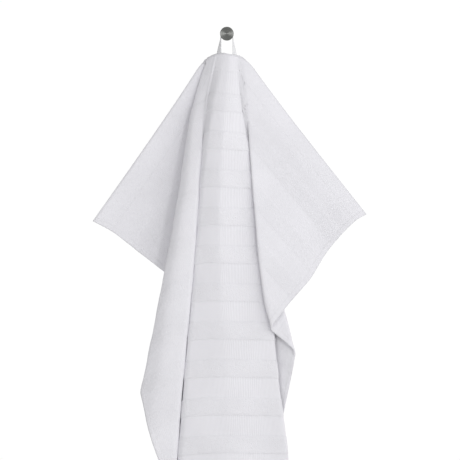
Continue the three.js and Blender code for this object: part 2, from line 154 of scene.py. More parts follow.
# The corners of cloth beyond the outer folds, which hang flat, at each of the FLAP_ROWS.
#   lean      angle between the rows and the vertical, in degrees
#   stretch   seen length of a millimetre of cloth
#   out       how fast the cloth comes away from the wall
#   shoulder  where the stiff hem bends over, how far it stands up there, and where that fades
FLAP_ROWS = [0, 30, 65, 110, 150, 300]
LEFT_FLAP = {
    "side": -1,
    "lean": [-35.4, -35.2, -35, -34.7, -34.4, -33.5],
    "stretch": [0.998, 1.003, 1.009, 1.017, 1.024, 1.05],
    "out": [-0.02, -0.018, -0.015, -0.013, -0.01, -0.005],
    "shoulder": {"at": 54, "lift": 4.5, "fade": 60},
}
RIGHT_FLAP = {
    "side": 1,
    "lean": [38.6, 38.9, 39.3, 39.8, 40.3, 42],
    "stretch": [0.98, 0.966, 0.969, 0.991, 1.014, 1.05],
    "out": [0.01, 0, -0.013, -0.03, -0.045, -0.1],
    "shoulder": {"at": 48, "lift": 5, "fade": 50},
}

# The stiff hem's bend: how far it reaches out along the flap, and how much of its lift goes
# sideways and upwards
SHOULDER_SPREAD = 90
SHOULDER_ACROSS = 0.8
SHOULDER_UP = 0.6

# Thickness of the cloth's parts and the depth of its seams, as shares of the full pile's thickness
PILE_IN_RECESS = 0.5
PILE_IN_PRESSED_RECESS = 0.78
PILE_AT_RIB_EDGE = 0.9
PILE_IN_END_HEM = 0.8
GATHERED_PILE = 0.6
SEAM_DEPTH = 0.22
RIB_CROWN_POWER = 0.5

# Ribs and seams down the cloth, in millimetres: where a rib starts in its pitch, the slope at its
# edges, and the width of a pressed seam
RIB_START = 4.5
RIB_RAMP = 1.5
SEAM_WIDTH = 1.6

# Where the middle of the cloth ends on each side: its place at the end hem and how it fans out.
# Beyond it the ribs are pressed flatter, fully so after PRESSED_REACH.
MIDDLE_LEFT = (-12, -0.25)
MIDDLE_RIGHT = (20, 0.25)
PRESSED_REACH = 70.0

# Soft hollows of used cloth: size of a hollow in millimetres and its share of the unevenness.
# They come in from the row HOLLOW_START down, over HOLLOW_EASE millimetres.
HOLLOWS = [(95.0, 1.0), (38.0, 0.5), (14.0, 0.18)]
HOLLOW_START = -20
HOLLOW_EASE = 90

# Spread of the mesh columns across a row, in millimetres
COLUMN_SAMPLES = 1401
WIDE_COLUMN = 8.0
NARROW_COLUMN = 2.3
BEND_REACH = 3.0

# Steps of the mesh rows down the cloth, in millimetres: in the upper half, and below it
FINE_STEP = 4.6
COARSE_STEP = 8.5
FINE_ROWS_END = 720

# Terry pile, in millimetres of cloth. Noise scales are features for each millimetre.
LOOP_SIZE = 1.5
LOOP_SCATTER = 0.75
LOOP_REACH = 0.75
LOOP_HEIGHT = 0.6
LOOP_WANDER = {"Scale": 0.22, "Detail": 2.0, "Roughness": 0.6}
LOOP_SHIFT = (1.4, 1.4, 0.0)
TUFTS = {"Scale": 0.16, "Detail": 3.0, "Roughness": 0.65}
TUFT_HEIGHT = 1.3
PILE_RELIEF = 1.1
PILE_BUMP = 0.65
PRESSED_EVENNESS = 0.65
PRESSED_PILE = 0.7
PILE_ON_HEM = 0.55
PILE_HEIGHTS = (0.2, 1.4)
PILE_ROUGHNESS = (0.98, 0.88)
PILE_SPECULAR = 0.12
PILE_SHEEN = 0.18
PILE_SHEEN_ROUGHNESS = 0.6
RIB_GAP_RAMP = 1.0

# Cords between the ribs, in millimetres
CORD_PITCH = 2.6
CORD_DRIFT = {"Scale": 0.05, "Detail": 2.0}
CORD_SHIFT = 1.2
CORD_HEIGHT = 0.8
CORD_SHARE = 0.4
PICK_PITCH = 0.9
PICK_HEIGHT = 0.12

# Rows of stitches, in millimetres: the pressed line, the thread in it, and how far each row lies
# inside its hem's edge
STITCH_LENGTH = 3.0
SEAM_LINE = (0.3, 1.3)
THREAD_SPAN = (-0.7, 0.1)
THREAD_WIDTH = (0.1, 0.5)
THREAD_HEIGHT = 0.7
STITCH_HEIGHT = 0.3
SIDE_SEAM_INSET = 1.5
END_SEAM_INSET = 2.0
SIDE_HEM_RAMP = 1.0

# Terry tones: slow patches, and painted shade in the gaps between loops and cords and in the seams
NOISE_LOW = 0.3
NOISE_HIGH = 0.7
PATCHES = {"Scale": 0.012, "Detail": 4.0}
PATCH_TONES = (0.965, 1.0)
GAP_SHADE = 0.08
GAP_SHADE_COLOUR = (0.42, 0.42, 0.42, 1.0)
SEAM_SHADE = 0.03
SEAM_SHADE_COLOUR = (0.45, 0.45, 0.45, 1.0)

# Tape loop, seen from the room: the leg on one side, from the peg down to its end behind the hem.
# turn is the tape's twist, from edge on to the room (0) to flat (90).
LEFT_LEG = [
    {"across": 9.9, "out": 34, "drop": 9, "turn": 6},
    {"across": 10.9, "out": 33.8, "drop": 18, "turn": 20},
    {"across": 12, "out": 32.8, "drop": 27, "turn": 36},
    {"across": 12.6, "out": 33.8, "drop": 33, "turn": 48},
    {"across": 12.8, "out": 36.1, "drop": 39, "turn": 70},
    {"across": 12.9, "out": 36.9, "drop": 46, "turn": 88},
]
RIGHT_LEG = [
    {"across": 9.8, "out": 34, "drop": 9, "turn": 5},
    {"across": 10.7, "out": 34.5, "drop": 18, "turn": 16},
    {"across": 11.8, "out": 35.3, "drop": 27, "turn": 28},
    {"across": 12.4, "out": 36.5, "drop": 33, "turn": 38},
    {"across": 12.6, "out": 37.8, "drop": 39, "turn": 64},
    {"across": 12.7, "out": 39.4, "drop": 46, "turn": 86},
]
TAPE_FLAT_LENGTH = 0.103
NECK_RADIUS = 8.5
SEAT_GAP = 0.3
LEG_STEPS = 22
TAPE_COLUMNS = 8

# Weave of the tape, in millimetres
TWILL_PITCH = 1.3
WARP_PITCH = 0.55
WARP_HEIGHT = 0.3
SELVEDGE_START = 1.0
SELVEDGE_FULL = 0.5
FUZZ = {"Scale": 1.5, "Detail": 3.0}
FUZZ_HEIGHT = 0.4
TAPE_BUMP = 0.7
TAPE_RELIEF = 0.35
TAPE_SHADE = 0.18
TAPE_SHADE_COLOUR = (0.55, 0.55, 0.56, 1.0)
TAPE_HEIGHTS = (0.0, 1.6)
TAPE_ROUGHNESS = (0.95, 0.8)
TAPE_SPECULAR = 0.2

# The peg: steps of its turn, the angle of an edge that stays sharp, and its rim and dished face
# as shares of the rim's size
PEG_STEPS = 96
SHARP_ANGLE = 35
WELD_DISTANCE = 1e-6
RIM_BEND = 0.3
DISH_START = 1.8
DISH_DEPTH = 0.15

# Turned steel. Noise scales are features for each metre.
GROOVES = {"Scale": 2600.0, "Detail": 3.0, "Roughness": 0.6}
GROOVE_BUMP = 0.22
GROOVE_RELIEF = 0.06
STEEL_ROUGHNESS = (0.38, 0.48)
STEEL_SPREAD = 1.0
QUARTER_TURN = 0.25
SMUDGES = {"Scale": 240.0, "Detail": 3.0}
SMUDGE_SPAN = (0.35, 0.75)
SMUDGE_SHARE = 0.12
SMUDGE_COLOUR = (0.16, 0.16, 0.155, 1.0)

# Studio, in metres: its floor, where the camera looks, how far it sees, and its film's width in
# millimetres
FLOOR_PLACE = Vector((0.0, -1.0, -1.75))
FLOOR_SIZE = 4.0
SPECKLE = {"Scale": 60.0, "Detail": 4.0}
SPECKLE_SHARE = 0.04
SPECKLE_COLOUR = (0.7, 0.7, 0.7, 1.0)
FLOOR_ROUGHNESS = 0.8
AIM = Vector((0.005, -0.04, -0.314))
FILM_WIDTH = 36.0
CAMERA_REACH = 50.0

# The soft lights: name, place and size of the disk, and the most power that one can be set to
KEY_LIGHT = ("key_light", Vector((1.9, -1.9, 0.6)), 1.6)
FRONT_LIGHTS = [
    ("front_light_left", Vector((-1.05, -3.0, 0.0)), 0.5),
    ("front_light_right", Vector((1.05, -3.0, 0.0)), 0.5),
]
MOST_POWER = 500.0

# Where the white surroundings change, as heights and sideways places on the unit sphere
OVERHEAD = (0.3, 1.0)
UNDERFOOT = (-0.9, -0.2)
TO_THE_RIGHT = (0.0, 0.9)
TO_THE_LEFT = (-0.9, 0.0)
WHITE = (1.0, 1.0, 1.0, 1.0)

# Names of the made things
TOWEL_NAME = "bath_towel"
LOOP_NAME = "tape_loop"
PEG_NAME = "turned_peg"
FLOOR_NAME = "studio_floor"
CAMERA_NAME = "photo_camera"
CUT_UV = "cut_cloth"
PILE_GROUP = "pile"
PRESSED_ATTRIBUTE = "pressed"


# The kinds of settings that a piece can have
def size_setting(name, description, default, low, high):
    return bpy.props.FloatProperty(
        name=name, description=description, default=default, min=low, max=high, unit="LENGTH")


def light_setting(name, description, default, high=5.0):
    return bpy.props.FloatProperty(
        name=name, description=description, default=default, min=0.0, max=high)


def power_setting(name, description, default):
    return bpy.props.FloatProperty(
        name=name, description=description, default=default, min=0.0, max=MOST_POWER, unit="POWER")


def colour_setting(name, description, default):
    return bpy.props.FloatVectorProperty(
        name=name, description=description, subtype="COLOR", size=3, default=default,
        min=0.0, max=1.0)


class TowelSettings(bpy.types.PropertyGroup):
    """Sizes and colours of the cloth."""

    width: size_setting("Width", "Width of the cut cloth", 0.7, 0.3, 1.2)
    length: size_setting("Length", "Length of the cut cloth", 1.4, 0.5, 2.2)
    thickness: size_setting(
        "Pile thickness", "Thickness of the cloth at a raised rib", 0.0034, 0.001, 0.008)
    rib_pitch: size_setting(
        "Rib pitch", "Distance from one raised rib to the next", 0.0606, 0.02, 0.2)
    rib_width: size_setting("Rib width", "Width of a raised rib", 0.0295, 0.005, 0.1)
    end_hem: size_setting("End hem", "Depth of the hem at each end", 0.031, 0.01, 0.06)
    side_hem: size_setting("Side hem", "Width of the hem at each side", 0.010, 0.005, 0.03)
    columns: bpy.props.IntProperty(
        name="Columns", description="Mesh columns across the cloth", default=148, min=60,
        max=200)
    unevenness: size_setting(
        "Unevenness", "Depth of the soft hollows of used cloth", 0.0011, 0.0, 0.005)
    pile_colour: colour_setting(
        "Pile colour", "Colour of the raised pile", (0.79, 0.783, 0.822))
    # The ground colour is a little darker than the pile's: painted shade in the recessed bands
    # between the ribs
    ground_colour: colour_setting(
        "Ground colour", "Colour of the cords between the ribs", (0.757, 0.75, 0.788))


class LoopSettings(bpy.types.PropertyGroup):
    """Sizes and colour of the hanging loop's tape."""

    width: size_setting("Width", "Width of the tape", 0.010, 0.004, 0.03)
    thickness: size_setting("Thickness", "Thickness of the tape", 0.0011, 0.0005, 0.003)
    steps_over_peg: bpy.props.IntProperty(
        name="Steps over the peg", description="Mesh steps of the half turn over the peg",
        default=28, min=8, max=64)
    colour: colour_setting("Colour", "Colour of the tape", (0.81, 0.81, 0.825))


class PegSettings(bpy.types.PropertyGroup):
    """Sizes and colour of the turned peg."""

    knob_radius: size_setting("Knob radius", "Radius of the knob", 0.011, 0.005, 0.03)
    neck_radius: size_setting("Neck radius", "Radius of the neck", NECK_RADIUS * MM, 0.003, 0.02)
    knob_thickness: size_setting("Knob thickness", "Thickness of the knob", 0.0055, 0.002, 0.02)
    rim: size_setting("Rim", "Size of the rounded rim", 0.0007, 0.0001, 0.002)
    colour: colour_setting("Colour", "Colour of the steel", (0.19, 0.194, 0.186))


class StudioSettings(bpy.types.PropertyGroup):
    """Floor, lights and camera."""

    floor_colour: colour_setting("Floor colour", "Colour of the floor", (0.86, 0.86, 0.85))
    horizon: light_setting("Horizon light", "Strength of the white surroundings", 1.02)
    right: light_setting(
        "Light from the right", "Added strength of the surroundings on the right", 0.24)
    left: light_setting(
        "Shade on the left", "Strength taken from the surroundings on the left", 0.48, 1.0)
    zenith: light_setting("Overhead light", "Strength of the surroundings overhead", 0.65)
    nadir: light_setting("Light from below", "Strength of the surroundings below", 0.35)
    key_power: power_setting("Key light", "Power of the soft light from the right", 3.0)
    front_power: power_setting("Front lights", "Power of each soft light beside the camera", 11.0)
    view_width: size_setting("View width", "Width that the camera sees at the towel",
                             0.736, 0.1, 5.0)
    camera_distance: size_setting("Camera distance", "Distance from the towel to the camera",
                                  6.0, 0.5, 10.0)


def smooth_step(t):
    s = min(1.0, max(0.0, t))
    return s * s * (3 - 2 * s)


def table_slope(places, values, i):
    """Slope of the smooth curve through a table's values at its entry i."""
    def step(k):
        return (values[k + 1] - values[k]) / (places[k + 1] - places[k])

    if i == 0:
        return step(0)
    if i == len(places) - 1:
        return step(i - 1)
    before = places[i] - places[i - 1]
    after = places[i + 1] - places[i]
    return (step(i - 1) * after + step(i) * before) / (before + after)


def table_value(places, values, place):
    """The smooth curve through a table's values, carried on straight past its last one."""
    last = len(places) - 1
    if place >= places[last]:
        return values[last] + (place - places[last]) * table_slope(places, values, last)
    i = 0
    while places[i + 1] <= place:
        i += 1
    width = places[i + 1] - places[i]
    t = (place - places[i]) / width
    s = t * t
    c = s * t
    return ((2 * c - 3 * s + 1) * values[i]
            + (c - 2 * s + t) * width * table_slope(places, values, i)
            + (3 * s - 2 * c) * values[i + 1]
            + (c - s) * width * table_slope(places, values, i + 1))


def fan_at(row):
    """How far a fold with a fan of 1 has moved across the cloth at a row."""
    return FAN_SLACK * (1 - math.exp(-row / FAN_SLACK))


def fan_rate(row):
    return math.exp(-row / FAN_SLACK)


class HangingFold:
    """A fold's line in space, and the length of it above each row of the cloth."""

    def __init__(self, entry, last_row):
        self.entry = entry
        self.points = []
        self.lengths = []
        length = 0.0
        for drop in range(0, WALK_DROP + 1, WALK_STEP):
            rise = entry["rise"] * max(0.0, 1 - drop / HEM_EASE)
            point = Vector((table_value(DROPS, entry["across"], drop),
                            -table_value(DROPS, entry["out"], drop),
                            rise - HEM_DROP - drop))
            if self.points:
                length += (point - self.points[-1]).length
            self.points.append(point)
            self.lengths.append(length)
        self.row_lengths = [0.0]
        for row in range(0, last_row + 1, WALK_STEP):
            slope = entry["fan"] * fan_rate(row + WALK_STEP / 2)
            self.row_lengths.append(self.row_lengths[-1] + WALK_STEP * math.hypot(1, slope))

    def length_at(self, row):
        place = row / WALK_STEP
        i = min(int(place), len(self.row_lengths) - 2)
        return self.row_lengths[i] + (place - i) * (self.row_lengths[i + 1] - self.row_lengths[i])

    def point_at(self, length):
        i = int(np.searchsorted(self.lengths, length, side="right")) - 1
        i = min(max(i, 0), len(self.lengths) - 2)
        t = (length - self.lengths[i]) / (self.lengths[i + 1] - self.lengths[i])
        return self.points[i].lerp(self.points[i + 1], t)


def flap_direction(flap, row):
    """The way a corner's cloth lies along a row, for each millimetre of cloth."""
    place = min(row, FLAP_ROWS[-1])
    lean = table_value(FLAP_ROWS, flap["lean"], place) * DEGREE
    stretch = table_value(FLAP_ROWS, flap["stretch"], place)
    out = table_value(FLAP_ROWS, flap["out"], place)
    return Vector((math.sin(lean) * stretch, -out, -math.cos(lean) * stretch))


def tip_growth(entry, row):
    """How much of a folded edge's depth is there at a row."""
    return smooth_step((row - entry["starts"]) / max(entry["full"] - entry["starts"], 1))


class LaidRow:
    """One row of the cloth: straight stretches between rounded corners.

    A bend cuts its corner off, so each corner is moved out by as much, and the bend passes close to
    the place that the table gives.
    """

    def __init__(self, folds, row):
        self.row = row
        self.left_end = flap_direction(LEFT_FLAP, row)
        self.right_end = flap_direction(RIGHT_FLAP, row)
        corners = []
        for fold in folds:
            entry = fold.entry
            u = entry["hem"] + entry["fan"] * fan_at(row)
            length = fold.length_at(row)
            slope = entry["fan"] * fan_rate(row)
            grown = tip_growth(entry, row)
            tip = abs(entry["tip"]) * grown
            for side in ([0] if entry["tip"] == 0 else [-1, 1]):
                point = fold.point_at(length + side * tip * slope)
                point.x += side * TIP_SPREAD * (1 - grown)
                point.y -= side * tip * math.copysign(1, entry["tip"])
                reach = tip * math.hypot(1, slope) + TIP_LEAD * row * (1 - grown)
                corners.append((u + side * reach, point, entry["round"]))
        places = [corner[0] for corner in corners]
        points = [corner[1] for corner in corners]
        places = [places[0] - FLAP_REACH, *places, places[-1] + FLAP_REACH]
        points = [points[0] + self.left_end * FLAP_REACH, *points,
                  points[-1] + self.right_end * FLAP_REACH]
        self.places = []
        self.points = []
        self.rounds = []
        for i in range(1, len(places) - 1):
            gap_before = max(places[i] - places[i - 1], LEAST_GAP)
            gap_after = max(places[i + 1] - places[i], LEAST_GAP)
            rounding = min(corners[i - 1][2], CORNER_SHARE * gap_before, CORNER_SHARE * gap_after)
            back = (points[i - 1] - points[i]) / gap_before
            onward = (points[i + 1] - points[i]) / gap_after
            self.places.append(places[i])
            self.points.append(points[i] - (back + onward) * rounding / 4)
            self.rounds.append(rounding)

    def straight(self, u):
        """A place on the row before its corners are rounded."""
        if u <= self.places[0]:
            return self.points[0] + self.left_end * (self.places[0] - u)
        if u >= self.places[-1]:
            return self.points[-1] + self.right_end * (u - self.places[-1])
        i = 0
        while self.places[i + 1] < u:
            i += 1
        gap = self.places[i + 1] - self.places[i]
        t = (u - self.places[i]) / gap if gap > 0 else 0.0
        return self.points[i].lerp(self.points[i + 1], t)

    def point(self, u):
        """The place in space of the cloth that lies u from the row's middle."""
        for place, corner, rounding in zip(self.places, self.points, self.rounds):
            if abs(u - place) < rounding:
                t = (u - place + rounding) / (2 * rounding)
                laid = (self.straight(place - rounding) * (1 - t) ** 2
                        + corner * (2 * t * (1 - t))
                        + self.straight(place + rounding) * t ** 2)
                break
        else:
            laid = self.straight(u)
        return laid + self.shoulder(u)

    def shoulder(self, u):
        """How far the stiff upper hem lifts the cloth as it bends over into a corner."""
        flap = LEFT_FLAP if u < 0 else RIGHT_FLAP
        bend = flap["shoulder"]
        reach = abs(u)
        if reach < bend["at"]:
            share = smooth_step(reach / bend["at"])
        else:
            share = math.exp((bend["at"] - reach) / SHOULDER_SPREAD)
        height = bend["lift"] * share * math.exp(-self.row / bend["fade"])
        return Vector((flap["side"] * SHOULDER_ACROSS * height, 0.0, SHOULDER_UP * height))

    def columns(self, count, half_width, side_hem):
        """Places across the row, close together at its bends and along its side hems."""
        samples = np.linspace(-half_width, half_width, COLUMN_SAMPLES)
        weight = np.full(COLUMN_SAMPLES, 1.0 / WIDE_COLUMN)
        bends = list(zip(self.places, self.rounds))
        hem_middle = half_width - side_hem / 2
        bends += [(-hem_middle, side_hem / 2), (hem_middle, side_hem / 2)]
        for place, rounding in bends:
            reach = BEND_REACH + rounding
            near = np.exp(-((samples - place) / reach) ** 2) / NARROW_COLUMN
            weight = np.maximum(weight, near)
        total = np.concatenate(([0.0], np.cumsum((weight[1:] + weight[:-1]) / 2)))
        wanted = np.linspace(0.0, total[-1], count + 1)
        return np.interp(wanted, total, samples)


def pile_rows(cloth):
    """The rows down the cloth with their share of the full thickness."""
    length = cloth.length / MM
    hem = cloth.end_hem / MM
    pitch = cloth.rib_pitch / MM
    width = cloth.rib_width / MM
    rows = []

    def stretch(start, end, share_at):
        step = FINE_STEP if start < FINE_ROWS_END else COARSE_STEP
        count = max(1, round((end - start) / step))
        for k in range(count + 1):
            t = k / count
            rows.append((start + t * (end - start), share_at(t)))

    def in_recess(t):
        return PILE_IN_RECESS

    def in_rib(t):
        crown = math.sin(math.pi * t) ** RIB_CROWN_POWER
        return PILE_AT_RIB_EDGE + (1 - PILE_AT_RIB_EDGE) * crown

    def in_hem(t):
        return PILE_IN_END_HEM

    stretch(0, hem - RIB_RAMP, in_hem)
    place = hem
    n = 1
    while n * pitch + RIB_START + width < length - hem:
        start = n * pitch + RIB_START
        end = start + width
        stretch(place, start, in_recess)
        stretch(start + RIB_RAMP, end - RIB_RAMP, in_rib)
        place = end
        n += 1
    stretch(place, length - hem, in_recess)
    stretch(length - hem + RIB_RAMP, length, in_hem)
    return rows


def hang_cloth(cloth):
    """The towel's mesh: a grid with a row at each edge of a rib, laid in its folds."""
    half_width = cloth.width / MM / 2
    length = cloth.length / MM
    side_hem = cloth.side_hem / MM
    rows = pile_rows(cloth)
    columns = cloth.columns
    mesh = bmesh.new()
    uv_layer = mesh.loops.layers.uv.new(CUT_UV)
    weight_layer = mesh.verts.layers.deform.verify()
    pressed_layer = mesh.verts.layers.float.new(PRESSED_ATTRIBUTE)
    bmesh.ops.create_grid(mesh, x_segments=columns, y_segments=len(rows) - 1, size=1.0)
    mesh.verts.ensure_lookup_table()
    folds = [HangingFold(entry, int(length)) for entry in FOLDS]
    laid_rows = [LaidRow(folds, row) for row, share in rows]
    places = [laid.columns(columns, half_width, side_hem) for laid in laid_rows]
    cut_place = {}
    for vertex in mesh.verts:
        i = round((vertex.co.x + 1) / 2 * columns)
        j = round((1 - vertex.co.y) / 2 * (len(rows) - 1))
        u = float(places[j][i])
        row, share = rows[j]
        spread = spread_at(laid_rows[j], u)
        cut_place[vertex.index] = (u, row, spread)
        vertex.co = laid_rows[j].point(u) * MM
        pressed = pressed_share(u, row)
        if share == PILE_IN_RECESS:
            share += pressed * (PILE_IN_PRESSED_RECESS - PILE_IN_RECESS)
        thinned = GATHERED_PILE + (1 - GATHERED_PILE) * spread
        vertex[weight_layer][0] = share * thinned * hem_share(half_width - abs(u), side_hem)
        vertex[pressed_layer] = pressed
    for face in mesh.faces:
        for corner in face.loops:
            u, row, spread = cut_place[corner.vert.index]
            corner[uv_layer].uv = (u / (2 * half_width) + 0.5, 1 - row / length)
        face.smooth = True
    mesh.normal_update()
    soften(mesh, cut_place, cloth.unevenness)
    return mesh


def spread_at(laid, u):
    """1 where the cloth lies spread out along its row, less where it is gathered."""
    return min(1.0, (laid.point(u + 1) - laid.point(u - 1)).length / 2)


def pressed_share(u, row):
    """0 in the middle of the cloth, 1 at its sides, where the ribs are pressed flatter."""
    left_edge = MIDDLE_LEFT[0] + MIDDLE_LEFT[1] * fan_at(row)
    right_edge = MIDDLE_RIGHT[0] + MIDDLE_RIGHT[1] * fan_at(row)
    return smooth_step(max(left_edge - u, u - right_edge) / PRESSED_REACH)


def hem_share(from_edge, side_hem):
    """The side hem is a little thicker than the ground, with its seam pressed in."""
    seam = math.exp(-((from_edge - side_hem) / SEAM_WIDTH) ** 2)
    return 1.0 - SEAM_DEPTH * seam


def soften(mesh, cut_place, depth):
    """Moves each point of the cloth a little in or out."""
    for vertex in mesh.verts:
        u, row, spread = cut_place[vertex.index]
        shift = 0.0
        for size, share in HOLLOWS:
            shift += share * noise.noise(Vector((u / size, row / size, size)))
        ease = smooth_step((row - HOLLOW_START) / HOLLOW_EASE) * spread
        vertex.co += vertex.normal * shift * depth * ease


def new_object(name, mesh, material, node_name):
    """Puts a finished mesh into the scene as a piece that stands for its solid."""
    data = bpy.data.meshes.new(name)
    mesh.to_mesh(data)
    mesh.free()
    piece = bpy.data.objects.new(name, data)
    bpy.context.scene.collection.objects.link(piece)
    data.materials.append(material)
    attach(piece, "root")
    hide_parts(node_name)
    return piece


def remove_old(name):
    old = bpy.data.objects.get(name)
    if old is not None:
        bpy.data.objects.remove(old, do_unlink=True)


def node_group(name, inputs, outputs):
    """An empty shader group with named numbers and vectors in and out."""
    group = bpy.data.node_groups.new(name, "ShaderNodeTree")
    kinds = {"value": "NodeSocketFloat", "vector": "NodeSocketVector"}
    for socket, kind, default in inputs:
        made = group.interface.new_socket(socket, in_out="INPUT", socket_type=kinds[kind])
        if default is not None:
            made.default_value = default
    for socket, kind in outputs:
        group.interface.new_socket(socket, in_out="OUTPUT", socket_type=kinds[kind])
    group.nodes.new("NodeGroupInput").name = "In"
    group.nodes.new("NodeGroupOutput").name = "Out"
    return group


class Wiring:
    """Adds nodes to one tree and links them."""

    def __init__(self, tree):
        self.tree = tree

    def node(self, kind, sources=None, **settings):
        made = self.tree.nodes.new(kind)
        for key, value in settings.items():
            setattr(made, key, value)
        for socket, source in (sources or {}).items():
            self.feed(made.inputs[socket], source)
        return made

    def feed(self, socket, source):
        if isinstance(source, bpy.types.NodeSocket):
            self.tree.links.new(source, socket)
        else:
            socket.default_value = source

    def math(self, operation, first, second=0.0, third=0.0):
        made = self.tree.nodes.new("ShaderNodeMath")
        made.operation = operation
        for i, source in enumerate((first, second, third)):
            self.feed(made.inputs[i], source)
        return made.outputs[0]

    def wave(self, turn):
        """A sine that runs from 0 to 1."""
        return self.math("MULTIPLY_ADD", self.math("SINE", turn), 0.5, 0.5)

    def mix_colour(self, share, first, second, blend="MIX"):
        made = self.tree.nodes.new("ShaderNodeMix")
        made.data_type = "RGBA"
        made.blend_type = blend
        self.feed(made.inputs[0], share)
        self.feed(made.inputs[6], first)
        self.feed(made.inputs[7], second)
        return made.outputs[2]

    def ramp(self, value, low, high, start=0.0, end=1.0):
        made = self.tree.nodes.new("ShaderNodeMapRange")
        made.interpolation_type = "SMOOTHSTEP"
        for socket, source in (("Value", value), ("From Min", low), ("From Max", high),
                               ("To Min", start), ("To Max", end)):
            self.feed(made.inputs[socket], source)
        return made.outputs["Result"]


def rib_mask_group():
    """1 on the raised pile and 0 on the ground between the ribs, from the cut cloth's own UV."""
    group = node_group(
        "Rib Mask",
        [("Cloth", "vector", None), ("Pitch", "value", None), ("Width", "value", None),
         ("Start", "value", RIB_START), ("Hem", "value", None), ("Length", "value", None)],
        [("Raised", "value"), ("Along", "value"), ("Across", "value"), ("Hem Mask", "value")])
    wires = Wiring(group)
    given = group.nodes["In"].outputs
    parts = wires.node("ShaderNodeSeparateXYZ", {"Vector": given["Cloth"]})
    across = parts.outputs["X"]
    along = parts.outputs["Y"]
    place = wires.math("WRAP", wires.math("SUBTRACT", along, given["Start"]), given["Pitch"], 0.0)
    rise = wires.ramp(place, 0.0, RIB_RAMP)
    fall_start = wires.math("SUBTRACT", given["Width"], RIB_RAMP)
    fall = wires.ramp(place, fall_start, given["Width"], 1.0, 0.0)
    rib = wires.math("MULTIPLY", rise, fall)
    from_end = wires.math("MINIMUM", along, wires.math("SUBTRACT", given["Length"], along))
    hem = wires.ramp(from_end, wires.math("SUBTRACT", given["Hem"], RIB_RAMP), given["Hem"],
                     1.0, 0.0)
    below_hem = wires.math("SUBTRACT", 1.0, hem)
    first_rib = wires.math("ADD", given["Pitch"], RIB_GAP_RAMP)
    first_gap = wires.ramp(from_end, given["Pitch"], first_rib)
    ground = wires.math("MULTIPLY", wires.math("MULTIPLY", rib, below_hem), first_gap)
    out = group.nodes["Out"].inputs
    wires.feed(out["Raised"], ground)
    wires.feed(out["Along"], along)
    wires.feed(out["Across"], across)
    wires.feed(out["Hem Mask"], hem)
    return group


def terry_pile_group():
    """Loops of terry pile: height, and how deep the gaps between the loops are."""
    group = node_group(
        "Terry Pile",
        [("Cloth", "vector", None), ("Loop Size", "value", LOOP_SIZE)],
        [("Height", "value"), ("Gap", "value")])
    wires = Wiring(group)
    given = group.nodes["In"].outputs
    scale = wires.math("DIVIDE", 1.0, given["Loop Size"])
    bent = wires.node("ShaderNodeTexNoise", {"Vector": given["Cloth"], **LOOP_WANDER})
    shifted = wires.node("ShaderNodeVectorMath", {0: bent.outputs["Color"], 1: LOOP_SHIFT},
                         operation="MULTIPLY")
    place = wires.node("ShaderNodeVectorMath", {0: given["Cloth"], 1: shifted.outputs[0]},
                       operation="ADD")
    loops = wires.node("ShaderNodeTexVoronoi", {"Vector": place.outputs[0], "Scale": scale,
                                                "Randomness": LOOP_SCATTER},
                       voronoi_dimensions="2D", feature="F1")
    dome = wires.ramp(loops.outputs["Distance"], 0.0, LOOP_REACH, 1.0, 0.0)
    tufts = wires.node("ShaderNodeTexNoise", {"Vector": given["Cloth"], **TUFTS})
    height = wires.math("ADD", wires.math("MULTIPLY", dome, LOOP_HEIGHT),
                        wires.math("MULTIPLY", tufts.outputs["Fac"], TUFT_HEIGHT))
    out = group.nodes["Out"].inputs
    wires.feed(out["Height"], height)
    wires.feed(out["Gap"], wires.math("SUBTRACT", 1.0, dome))
    return group


def cord_ground_group():
    """Fine cords that run down the cloth between the ribs."""
    group = node_group(
        "Cord Ground",
        [("Cloth", "vector", None), ("Cord Pitch", "value", CORD_PITCH)],
        [("Height", "value"), ("Gap", "value")])
    wires = Wiring(group)
    given = group.nodes["In"].outputs
    drift = wires.node("ShaderNodeTexNoise", {"Vector": given["Cloth"], **CORD_DRIFT})
    parts = wires.node("ShaderNodeSeparateXYZ", {"Vector": given["Cloth"]})
    across = wires.math("ADD", parts.outputs["X"],
                        wires.math("MULTIPLY", drift.outputs["Fac"], CORD_SHIFT))
    turn = wires.math("MULTIPLY", wires.math("DIVIDE", across, given["Cord Pitch"]), 2 * math.pi)
    wave = wires.wave(turn)
    picks = wires.wave(wires.math("MULTIPLY", parts.outputs["Y"], 2 * math.pi / PICK_PITCH))
    height = wires.math("ADD", wires.math("MULTIPLY", wave, CORD_HEIGHT),
                        wires.math("MULTIPLY", picks, PICK_HEIGHT))
    out = group.nodes["Out"].inputs
    wires.feed(out["Height"], height)
    wires.feed(out["Gap"], wires.math("SUBTRACT", 1.0, wave))
    return group


def seam_group():
    """Rows of hem stitches: the pressed line and the thread that dips into it."""
    group = node_group(
        "Hem Stitches",
        [("From Edge", "value", None), ("Along Seam", "value", None), ("Inset", "value", None),
         ("Stitch", "value", STITCH_LENGTH)],
        [("Height", "value"), ("Line", "value")])
    wires = Wiring(group)
    given = group.nodes["In"].outputs
    off = wires.math("ABSOLUTE", wires.math("SUBTRACT", given["From Edge"], given["Inset"]))
    line = wires.ramp(off, *SEAM_LINE, 1.0, 0.0)
    turn = wires.math("MULTIPLY", wires.math("DIVIDE", given["Along Seam"], given["Stitch"]),
                      2 * math.pi)
    thread = wires.ramp(wires.math("SINE", turn), *THREAD_SPAN)
    narrow = wires.ramp(off, *THREAD_WIDTH, 1.0, 0.0)
    raised = wires.math("MULTIPLY", wires.math("MULTIPLY", thread, narrow), THREAD_HEIGHT)
    out = group.nodes["Out"].inputs
    wires.feed(out["Height"], wires.math("SUBTRACT", raised, line))
    wires.feed(out["Line"], line)
    return group


def principled(name):
    """A new material with its wiring, its surface shader and its output joined."""
    material = bpy.data.materials.new(name)
    material.use_nodes = True
    tree = material.node_tree
    tree.nodes.clear()
    wires = Wiring(tree)
    shader = wires.node("ShaderNodeBsdfPrincipled")
    wires.node("ShaderNodeOutputMaterial", {"Surface": shader.outputs["BSDF"]})
    return material, wires, shader


